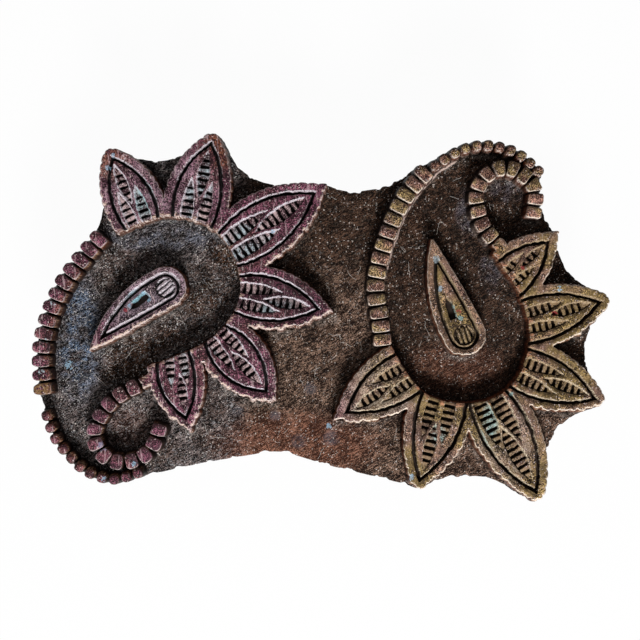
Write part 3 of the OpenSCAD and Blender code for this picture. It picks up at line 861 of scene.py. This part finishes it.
def reliefPiece(name, loop, spec, seed):
    top, snaps = reliefTop(loop, spec, seed)
    rows = [[share, flare, spread * spec["lean"]] for share, flare, spread in wallRows]
    verts, faces, values = carve(
        [scalloped(loop, spec, seed)], spec["pitch"], top, rows, groundZ - 0.8, spec["fray"], snaps)
    piece = addPiece(name, verts, faces, values, reliefMaterial, "carved_timber", "carved_block")
    closeBottom(piece.data)


reliefPiece("left_petals", fans[0], fanSpec, 10)
reliefPiece("right_petals", fans[1], fanSpec, 20)
reliefPiece("left_teardrop", drops[0], {**dropSpec, "lip": 0.42}, 30)
reliefPiece("right_teardrop", drops[1], {**dropSpec, "lip": 0.26}, 40)
print("relief made")

# Board
boardSpec = {
    "pitch": 0.55,
    "fray": 0.12,
    "chip": 0.7,  # how far the edge is broken back
    "swell": 0.35,  # heights of the ground's waves, of the marks of the gouge and of its grit
    "gouge": 0.12,
    "grit": 0.1,
    "skirt": 0.9,  # rise of the ground to the foot of the relief
    "round": 0.5,
    "ledge": 0.7,
    "rows": [[0.02, 0.05, 0], [0.06, 0.1, 0], [0.2, 0.12, 0], [0.4, 0.1, 0],
             [0.6, 0.12, 0], [0.8, 0.1, 0], [0.95, 0.06, 0]],
}
islandTree = treeOf(np.concatenate([resampled(p, 0.3)[0] for p in islands]))


def cornersOf(loop):  # where the four long sides of a tooth's outline meet
    run = np.roll(loop, -1, 0) - loop
    sides = sorted(np.argsort(-np.linalg.norm(run, axis=1))[:4])
    found = []
    for k in range(4):
        p, u = loop[sides[k]], run[sides[k]]
        q, v = loop[sides[(k + 1) % 4]], run[sides[(k + 1) % 4]]
        between = q - p
        share = (between[0] * v[1] - between[1] * v[0]) / (u[0] * v[1] - u[1] * v[0])
        found.append(p + u * share)
    return np.array(found)


def facingOut(corners, middle, reach, widen=0.0):  # inner side first, ends drawn out and sides widened
    edges = 0.5 * (corners + np.roll(corners, -1, 0))
    first = int(np.argmin(np.linalg.norm(edges - middle, axis=1)))
    a, b, c, d = np.roll(corners, -first, 0)
    out = 0.5 * (c + d - a - b)
    out = out / np.linalg.norm(out)
    run = widen * (b - a) / np.linalg.norm(b - a)
    near, far = out * reach[0], out * reach[1]
    return np.array([a - near - run, b - near + run, c + far + run, d + far - run])


def rowMiddle(place):  # the middle that a tooth turns its inner end to
    side = 0 if place[0] < 0 else 1
    return curls[side] if np.linalg.norm(place - curls[side]) < curlReach else bodies[side]


def innerLine(loops):  # along the inner ends of the teeth that stand in a row
    ends = []
    for loop in loops:
        place = loop.mean(0)
        corners = facingOut(cornersOf(loop), rowMiddle(place), [0.5, 0])
        ends.append([math.atan2(place[1], 60 - place[0]), *(0.5 * (corners[0] + corners[1]))])
    path = np.array(sorted(ends))[:, 1:]
    share = np.linspace(0, len(path) - 1, 60 * len(path))
    return np.stack([np.interp(share, np.arange(len(path)), path[:, k]) for k in (0, 1)], 1)


rightRow = [p for p in toothLoops if 0 < p[:, 0].mean() < 46]
rightRow = [p for p in rightRow if np.linalg.norm(p.mean(0) - curls[1]) > curlReach]
ledgeTree = treeOf(innerLine(rightRow))


def boardTop(flat, depth):
    x, y = flat[:, 0], flat[:, 1]
    gap, spotNear = nearest(islandTree, flat)
    lean = (spotNear[:, 1] - y) / (gap + 0.05)
    buried = pointsInside(islands, flat)
    along, across = 0.86 * x + 0.5 * y, 0.86 * y - 0.5 * x
    z = groundZ + boardSpec["swell"] * noise(x, y, 13.0, 1)
    z += boardSpec["gouge"] * noise(along / 5, across, 0.9, 2)
    z += boardSpec["grit"] * noise(x, y, 1.3, 3) - 0.3
    z += np.where(buried, 0, boardSpec["skirt"] * np.exp(-gap / 1.6))
    z -= boardSpec["round"] * bell(depth, 0.5)
    ledge = np.where(buried, 0, bell(nearest(ledgeTree, flat)[0], 0.55))
    ledge *= 0.45 + 0.55 * smooth((y - 8) / 16)
    z += boardSpec["ledge"] * ledge
    lint = np.where(x < -25, 0.85, np.where(x > 20, 0.16, 0.5)) * np.clip(0.5 + noise(x, y, 15.0, 4), 0.1, 1)
    return z, {
        "ledge": ledge,
        # paler ground beside walls that face the light (dust and painted light), and painted shadow beside
        # walls that face away
        "dust": np.exp(-gap / 3.0) * np.clip(lean, 0, 1),
        "soot": np.exp(-gap / 2.6) * np.clip(-lean + 0.2, 0, 1),
        "lint": np.where(buried, 0, smooth(gap - 1.5)) * (depth > 2) * lint,
    }


border, at = resampled(blockOutline, 0.2)
chip = np.clip(noise(at, at * 0, 2.2, 51) + 0.6 * noise(at, at * 0, 0.8, 52) - 0.1, 0, 1)
border = border - boardSpec["chip"] * chip[:, None] * outward(border, 4)
verts, faces, values = carve(
    [border], boardSpec["pitch"], boardTop, boardSpec["rows"], backZ, boardSpec["fray"])
board = addPiece("timber_board", verts, faces, values, boardMaterial, "carved_timber", "carved_block")
housing = max(under[housingZ], key=lambda p: abs(signedArea(p)))
closeBottom(board.data, {"loop": resampled(housing, 1.0)[0], "top": housingZ})
print("board made")


# Geometry made by nodes
def growTree(name, inputs):
    tree = bpy.data.node_groups.new(name, "GeometryNodeTree")
    tree.interface.new_socket("Geometry", in_out="INPUT", socket_type="NodeSocketGeometry")
    for label, kind in inputs.items():
        tree.interface.new_socket(label, in_out="INPUT", socket_type=kind)
    tree.interface.new_socket("Geometry", in_out="OUTPUT", socket_type="NodeSocketGeometry")
    g = Graph(tree)
    given = g.node("NodeGroupInput", {}, {}, "Geometry")
    return g, {label: g.also(given, label) for label in ["Geometry", *inputs]}


def finishTree(g, geometry, mat):
    whole = g.node("GeometryNodeRealizeInstances", {}, {"Geometry": geometry})
    painted = g.node("GeometryNodeSetMaterial", {}, {"Geometry": whole, "Material": mat})
    out = g.tree.nodes.new("NodeGroupOutput")
    g.tree.links.new(painted.socket, out.inputs["Geometry"])


def grown(source, g, settings):  # a plain mesh made by a tree from a source mesh
    holder = bpy.data.objects.new("holder", source)
    scene.collection.objects.link(holder)
    grow = holder.modifiers.new("grow", "NODES")
    grow.node_group = g.tree
    for item in g.tree.interface.items_tree:
        if item.in_out == "INPUT" and item.name in settings:
            grow[item.identifier] = settings[item.name]
    graph = bpy.context.evaluated_depsgraph_get()
    made = bpy.data.meshes.new_from_object(
        holder.evaluated_get(graph), preserve_all_data_layers=True, depsgraph=graph)
    bpy.data.objects.remove(holder)
    return made


def template(name, verts, faces, values):  # a hidden object that a tree copies
    mesh = bpy.data.meshes.new(name)
    mesh.from_pydata(np.asarray(verts).tolist(), [], faces)
    mark(mesh, values)
    return bpy.data.objects.new(name, mesh)


def lathe(rings, sides, nearCorner, farCorner):  # a closed form of rings [radius, height]
    angle = 2 * math.pi * np.arange(sides) / sides
    c, s = np.cos(angle), np.sin(angle)
    corner = np.where(s > 0, farCorner, nearCorner)
    reach = (np.abs(c) ** corner + np.abs(s) ** corner) ** (-1 / corner)
    verts = [(0, 0, rings[0][1])]
    owner = [0]
    for k, (radius, height) in enumerate(rings):
        verts += [(radius * reach[i] * c[i], radius * reach[i] * s[i], height) for i in range(sides)]
        owner += [k] * sides
    faces = [(0, 1 + i, 1 + (i + 1) % sides) for i in range(sides)]
    for k in range(len(rings) - 1):
        a, b = 1 + k * sides, 1 + (k + 1) * sides
        faces += [(a + i, b + i, b + (i + 1) % sides, a + (i + 1) % sides) for i in range(sides)]
    last = 1 + (len(rings) - 1) * sides
    faces.append(tuple(last + i for i in reversed(range(sides))))
    return np.array(verts), faces, np.array(owner)


# Border teeth: one worn tooth, stretched between the four corners of each tooth of the CAD
toothFoot = [[1.05, -5.4], [1.1, -6.8], [1.18, -7.8], [1.0, -8.6]]
toothSpec = {
    "sides": 40,
    "corner": 7,
    "outer": {"left": 3.0, "right": 5.0},
    "reach": [0.3, 0.7],
    "widen": 0.15,
    "rings": [[0.3, 0], [0.66, -0.01], [0.82, -0.05], [0.91, -0.16], [0.95, -0.4], [0.97, -1.0],
              [0.99, -2.0], [1.01, -3.6], *toothFoot],
    "rim": [0, 0, 0.4, 0.9, 1, 0.8, 0, 0, 0, 0, 0, 0],
    "chip": 0.4,
    "worn": 0.5,  # most that a tooth is worn down
    "broken": 2.5,  # and what a few have lost besides
}
knobSpec = {
    **toothSpec,
    "sides": 32,
    "corner": 3,
    "outer": 2.6,
    "reach": [0.1, 0.5],
    "widen": 0.3,
    "rings": [[0.2, 0], [0.42, -0.08], [0.62, -0.28], [0.78, -0.62], [0.89, -1.1], [0.96, -2.0],
              [1.0, -3.6], *toothFoot],
    "rim": [0, 0, 0.1, 0.5, 0.8, 0.4, 0, 0, 0, 0, 0],
}


def toothTree():
    g, given = growTree("border_teeth", {
        "Tooth": "NodeSocketObject", "Material": "NodeSocketMaterial", "Chip": "NodeSocketFloat"})
    points = g.node("GeometryNodeMeshToPoints", {}, {"Mesh": given["Geometry"]})
    tooth = g.node("GeometryNodeObjectInfo", {}, {"Object": given["Tooth"]}, "Geometry")
    copies = g.node("GeometryNodeInstanceOnPoints", {}, {"Points": points, "Instance": tooth})
    whole = g.node("GeometryNodeRealizeInstances", {}, {"Geometry": copies})
    place, normal = g.node("GeometryNodeInputPosition"), g.node("GeometryNodeInputNormal")
    x, y, height = g.split(place)
    across, along = x * 0.5 + 0.5, y * 0.5 + 0.5
    a, b, c, d = (g.stored("corner" + letter, "FLOAT_VECTOR") for letter in "ABCD")
    low, high = a + (b - a) * across, d + (c - d) * across
    sunk = height - g.stored("worn") * g.step(height, -4 * milli, 0.0)
    lift = g.node("ShaderNodeCombineXYZ", {}, {2: sunk})
    placed = g.node("GeometryNodeSetPosition", {}, {
        "Geometry": whole, "Position": low + (high - low) * along + lift})
    rough, broad = g.noise(place, 1.1 * milli, 3) - 0.5, g.noise(place, 4 * milli, 1) - 0.5
    push = normal * ((rough + broad) * given["Chip"] * milli)
    made = g.node("GeometryNodeSetPosition", {}, {"Geometry": placed, "Offset": push})
    facing = g.split(normal)[1]
    ahead = g.split(place - (a + b + c + d) * (0.25, 0.25, 0.25))[1]
    near = g.step(g.split(a)[0], 0.0, milli) * g.step(ahead, -0.8 * milli, -1.4 * milli)  # on the right only
    # masks for painted light: south for a painted highlight on the sides facing the light and the near edge
    # of the right teeth, north for painted shade over each tooth's far half
    sides = {
        "south": g.calc("MAXIMUM", g.step(facing, 0.1, -0.9), near),
        "north": g.step(ahead, -0.4 * milli, 1.7 * milli),
    }
    for name, value in sides.items():
        made = g.node("GeometryNodeStoreNamedAttribute", {"data_type": "FLOAT", "domain": "POINT"}, {
            "Geometry": made, "Name": name, "Value": value})
    finishTree(g, made, given["Material"])
    return g


def teethPiece(name, loops, spec, seed):
    verts, faces, owner = lathe(spec["rings"], spec["sides"], spec["corner"], spec["outer"])
    ringZ = np.array(spec["rings"])[:, 1]
    verts[:, 2] *= milli
    unit = template(name + "_unit", verts, faces, {
        "rim": np.array(spec["rim"])[owner],
        "south": np.zeros(len(verts)),
        "bare": smooth(-0.1 - verts[:, 1] * 1.6),
        "wall": smooth((-0.3 - ringZ) / 0.9)[owner],
        "drop": np.clip(-ringZ / 8, 0, 1)[owner],
        "tooth": np.ones(len(verts)),
    })
    rng = np.random.default_rng(seed)
    source = bpy.data.meshes.new(name)
    source.from_pydata([(0, 0, 0)] * len(loops), [], [])
    corners = np.array([
        facingOut(cornersOf(p), rowMiddle(p.mean(0)), spec["reach"], spec["widen"]) for p in loops])
    for k, letter in enumerate("ABCD"):
        layer = source.attributes.new("corner" + letter, "FLOAT_VECTOR", "POINT")
        full = np.column_stack([corners[:, k], np.full(len(loops), faceZ)]) * milli
        layer.data.foreach_set("vector", full.astype(np.float32).ravel())
    amount = rng.uniform(0, spec["worn"], len(loops))
    amount += spec["broken"] * (rng.random(len(loops)) > 0.95)
    mark(source, {"worn": amount * milli})
    mesh = grown(source, teethGraph, {"Tooth": unit, "Material": reliefMaterial, "Chip": spec["chip"]})
    mesh.set_sharp_from_angle(angle=math.radians(50))
    return ridePiece(mesh, name, reliefMaterial, "carved_timber", "carved_block")


teethGraph = toothTree()
for label, sign, seed in (("left", -1, 3), ("right", 1, 5)):
    own = [p for p in toothLoops if p[:, 0].mean() * sign > 0]
    spec = {**toothSpec, "outer": toothSpec["outer"][label]}
    teethPiece(label + "_border_teeth", [p for p in own if signedArea(p) > knobArea], spec, seed)
    teethPiece(label + "_border_knobs", [p for p in own if signedArea(p) <= knobArea], knobSpec, seed + 1)
print("teeth made")


# Lint: bent threads of cloth that lie in the carved ground
lintSpec = {
    "Density": 110000.0, "Radius": 0.038 * milli, "Shortest": 0.6 * milli, "Longest": 5.5 * milli, "Seed": 9}


def lintMaterial():
    made, g = material("cotton_lint")
    surface(g, shade((240, 234, 226)), 0.9)
    return made


def lintTree():
    g, given = growTree("lint", {
        "Density": "NodeSocketFloat", "Radius": "NodeSocketFloat", "Shortest": "NodeSocketFloat",
        "Longest": "NodeSocketFloat", "Seed": "NodeSocketInt", "Material": "NodeSocketMaterial"})
    points = g.node("GeometryNodeDistributePointsOnFaces", {}, {
        "Mesh": given["Geometry"], "Density": g.stored("lint") * given["Density"], "Seed": given["Seed"]})
    line = g.node("GeometryNodeCurvePrimitiveLine", {}, {"Start": (-0.5, 0, 0), "End": (0.5, 0, 0)})
    thread = g.node("GeometryNodeResampleCurve", {}, {"Curve": line, "Count": 10})
    turn = g.node("FunctionNodeRandomValue", {"data_type": "FLOAT"}, {"Max": 6.28, "Seed": 5}, "Value")
    pick = g.node("FunctionNodeRandomValue", {"data_type": "FLOAT"}, {"Max": 1.0, "Seed": 6}, "Value")
    length = given["Shortest"] + (given["Longest"] - given["Shortest"]) * pick ** 4.0
    copies = g.node("GeometryNodeInstanceOnPoints", {}, {
        "Points": points, "Instance": thread,
        "Rotation": g.node("ShaderNodeCombineXYZ", {}, {2: turn}),
        "Scale": g.node("ShaderNodeCombineXYZ", {}, {0: length, 1: length, 2: length})})
    loose = g.node("GeometryNodeRealizeInstances", {}, {"Geometry": copies})
    swirl = g.also(g.noise(g.node("GeometryNodeInputPosition"), 2.8 * milli, 1), "Color")
    spread = g.node("ShaderNodeVectorMath", {"operation": "SUBTRACT"}, {0: swirl, 1: (0.5, 0.5, 0.3)})
    bent = g.node("GeometryNodeSetPosition", {}, {
        "Geometry": loose, "Offset": spread * (0.0026, 0.0026, 0.0012)})
    ring = g.node("GeometryNodeCurvePrimitiveCircle", {}, {"Resolution": 5, "Radius": given["Radius"]})
    tube = g.node("GeometryNodeCurveToMesh", {}, {"Curve": bent, "Profile Curve": ring, "Fill Caps": True})
    finishTree(g, tube, given["Material"])
    return g


lintFinish = lintMaterial()
lint = grown(board.data, lintTree(), {**lintSpec, "Material": lintFinish})
ridePiece(lint, "lint_threads", lintFinish, "carved_timber", "carved_block")
print("lint made", len(lint.polygons))


# Handle: the CAD's form with its edges worn round and its grain raised
def handleMaterial():
    made, g = material("handled_wood")
    place = millimetres(g)
    grain = g.noise(place * (0.06, 1.0, 1.0), 1.3, 4, 0.6)
    band = g.noise(place * (0.03, 0.5, 0.5), 4.0, 2, 0.5)
    fine = g.noise(place * (0.25, 1.0, 1.0), 0.5, 4, 0.7)
    colour = g.mix(g.step(band, 0.3, 0.7), (74, 48, 30), (122, 84, 52))
    colour = g.mix(g.step(grain, 0.55, 0.75) * 0.6, colour, (46, 29, 19))
    grime = g.noise(place, 9.0, 3, 0.6)
    colour = g.mix(g.step(grime, 0.5, 0.75) * 0.6, colour, (44, 30, 24))
    colour = g.mix(g.attribute("rim") * 0.55, colour, (150, 108, 70))
    surface(g, colour, 0.55, fine, 0.08)
    return made


handleSpec = {"voxel": 0.7, "soften": 5, "ridge": 0.05, "swell": 0.12}
holder = bpy.data.objects.new("holder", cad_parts["handle"].data.copy())
scene.collection.objects.link(holder)
remesh = holder.modifiers.new("remesh", "REMESH")
remesh.mode = "VOXEL"
remesh.voxel_size = handleSpec["voxel"] * milli
soften = holder.modifiers.new("soften", "SMOOTH")
soften.iterations = handleSpec["soften"]
depsgraph = bpy.context.evaluated_depsgraph_get()
handleMesh = bpy.data.meshes.new_from_object(holder.evaluated_get(depsgraph))
bpy.data.objects.remove(holder)
place = np.array([v.co for v in handleMesh.vertices]) / milli
normal = np.array([v.normal for v in handleMesh.vertices])
sideways = place[:, 1] + place[:, 2] * 1.3
ridges, swells = noise(place[:, 0] / 14, sideways, 0.9, 51), noise(place[:, 0], sideways, 11.0, 52)
push = handleSpec["ridge"] * ridges + handleSpec["swell"] * swells - 0.06
handleMesh.vertices.foreach_set("co", ((place + normal * push[:, None]) * milli).astype(np.float32).ravel())
corner = 1 - np.max(np.abs(normal), axis=1)
mark(handleMesh, {"rim": np.clip(corner * 3, 0, 1)})
for polygon in handleMesh.polygons:
    polygon.use_smooth = True
ridePiece(handleMesh, "worn_handle", handleMaterial(), "handle_wood", "handle")
print("handle made", len(handleMesh.polygons))


# Nails: one hammered nail at the four places that the CAD gives
def ironMaterial():
    made, g = material("rusted_iron")
    place = millimetres(g)
    rust = g.noise(place, 1.6, 4, 0.65)
    colour = g.mix(g.step(rust, 0.4, 0.65), (70, 64, 60), (104, 60, 36))
    surface(g, colour, g.step(rust, 0.35, 0.65, 0.45, 0.85), rust, 0.15, g.step(rust, 0.4, 0.6, 0.8, 0.1))
    return made


def nailTree():
    g, given = growTree("nails", {"Nail": "NodeSocketObject", "Material": "NodeSocketMaterial"})
    points = g.node("GeometryNodeMeshToPoints", {}, {"Mesh": given["Geometry"]})
    nail = g.node("GeometryNodeObjectInfo", {}, {"Object": given["Nail"]}, "Geometry")
    turn = g.node("FunctionNodeRandomValue", {"data_type": "FLOAT"}, {"Max": 6.28, "Seed": 5}, "Value")
    spin = g.node("ShaderNodeCombineXYZ", {}, {2: turn})
    copies = g.node("GeometryNodeInstanceOnPoints", {}, {
        "Points": points, "Instance": nail, "Rotation": spin})
    finishTree(g, copies, given["Material"])
    return g


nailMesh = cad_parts["handle_nails"].data
nailPoints = np.array([v.co for v in nailMesh.vertices])
nailLow, nailHigh = nailPoints[:, 2].min() / milli, nailPoints[:, 2].max() / milli
middles = []
for signX in (-1, 1):
    for signY in (-1, 1):
        mine = nailPoints[(nailPoints[:, 0] * signX > 0) & (nailPoints[:, 1] * signY > 0)]
        low, high = mine.min(0), mine.max(0)
        middles.append(((low[0] + high[0]) / 2, (low[1] + high[1]) / 2, 0))
headR = (high[0] - low[0]) / 2 / milli
nailSpec = {"sides": 20, "shank": 1.3, "headT": 1.6}
headTop = nailLow + nailSpec["headT"]
nailRings = [
    [0.2 * headR, nailLow], [0.55 * headR, nailLow + 0.2], [0.8 * headR, nailLow + 0.6],
    [0.96 * headR, nailLow + 1.1], [headR, headTop - 0.15], [0.97 * headR, headTop - 0.02],
    [nailSpec["shank"], headTop], [nailSpec["shank"], nailHigh - 4], [0.15, nailHigh - 0.1]]
verts, faces, owner = lathe(nailRings, nailSpec["sides"], 2, 2)
faces = [f[::-1] for f in faces]
unitNail = template("unit_nail", verts * milli, faces, {})
source = bpy.data.meshes.new("nail_places")
source.from_pydata(middles, [], [])
nailFinish = ironMaterial()
nails = grown(source, nailTree(), {"Nail": unitNail, "Material": nailFinish})
nails.set_sharp_from_angle(angle=math.radians(45))
ridePiece(nails, "hammered_nails", nailFinish, "nail_iron", "handle_nails")
print("nails made")

# Camera, light and floor
cameraSpec = {"above": 0.40, "span": 640 / 3 * milli, "sensor": 36}
studioSpec = {"floor": 0.965, "ambient": 0.12}
cameraData = bpy.data.cameras.new("camera")
camera = bpy.data.objects.new("camera", cameraData)
scene.collection.objects.link(camera)
camera.location = (0, 0, faceZ * milli + cameraSpec["above"])
cameraData.sensor_width = cameraSpec["sensor"]
cameraData.lens = cameraSpec["sensor"] * cameraSpec["above"] / cameraSpec["span"]
cameraData.dof.use_dof = False
scene.camera = camera
scene.view_settings.view_transform = "Standard"

floorMesh = bpy.data.meshes.new("floor")
floorMesh.from_pydata([(-3, -3, 0), (3, -3, 0), (3, 3, 0), (-3, 3, 0)], [], [(0, 1, 2, 3)])
floor = bpy.data.objects.new("floor", floorMesh)
scene.collection.objects.link(floor)
floorMaterial, g = material("pale_floor")
rays = g.node("ShaderNodeLightPath", {}, {}, "Is Camera Ray")
seen = rays + g.also(rays, "Is Glossy Ray") + g.also(rays, "Is Transmission Ray")
plain = g.node("ShaderNodeBsdfDiffuse", {}, {"Color": (0.9, 0.9, 0.9, 1)})
white = g.node("ShaderNodeEmission", {}, {"Color": (1, 1, 1, 1), "Strength": 1.0})
both = g.node("ShaderNodeMixShader", {}, {0: seen * studioSpec["floor"], 1: plain, 2: white})
finishGraph(g, "ShaderNodeOutputMaterial", both)
floorMesh.materials.append(floorMaterial)

world = bpy.data.worlds.new("studio")
scene.world = world
world.use_nodes = True
world.node_tree.nodes.clear()
g = Graph(world.node_tree)
rays = g.node("ShaderNodeLightPath", {}, {}, "Is Camera Ray")
dim = g.node("ShaderNodeBackground", {}, {"Color": (1, 1, 1, 1), "Strength": studioSpec["ambient"]})
bright = g.node("ShaderNodeBackground", {}, {"Color": (1, 1, 1, 1), "Strength": 1.0})
both = g.node("ShaderNodeMixShader", {}, {0: rays, 1: dim, 2: bright})
finishGraph(g, "ShaderNodeOutputWorld", both)


def areaLight(name, place, size, power):
    data = bpy.data.lights.new(name, "AREA")
    data.shape = "DISK"
    data.size = size
    data.energy = power
    lamp = bpy.data.objects.new(name, data)
    lamp.location = place
    lamp.rotation_euler = (-Vector(place)).to_track_quat("-Z", "Y").to_euler()
    scene.collection.objects.link(lamp)


areaLight("key", (0.10, -0.76, 0.78), 0.30, 12.0)
areaLight("fill", (-0.5, 0.3, 1.0), 0.9, 1.0)
